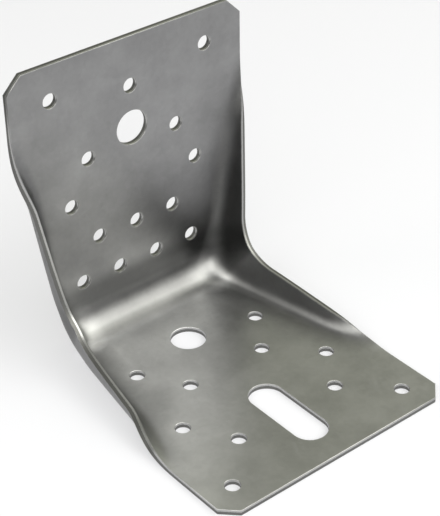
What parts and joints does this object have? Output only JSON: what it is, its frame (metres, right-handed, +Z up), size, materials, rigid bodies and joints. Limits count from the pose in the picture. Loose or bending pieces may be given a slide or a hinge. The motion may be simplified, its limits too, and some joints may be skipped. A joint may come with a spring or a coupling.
{
  "type": "reinforced angle bracket",
  "caption": "Right-angle timber connector of pressed galvanised sheet, with nail holes, a bolt hole in each leg, a slot and side flanges that stiffen the bend.",
  "frame": {"origin": "centre of the bounding box, at the height of the lying leg's underside", "axes": "+X along the bend, +Y out of the standing leg's back, +Z up along the standing leg; the lying leg points to -Y"},
  "size_m": [0.0906, 0.103, 0.103],
  "materials": {
    "zinc_sheet": "galvanised, dull"
  },
  "bodies": {
    "root": {"angle_bracket": "zinc_sheet"}
  },
  "joints": []
}
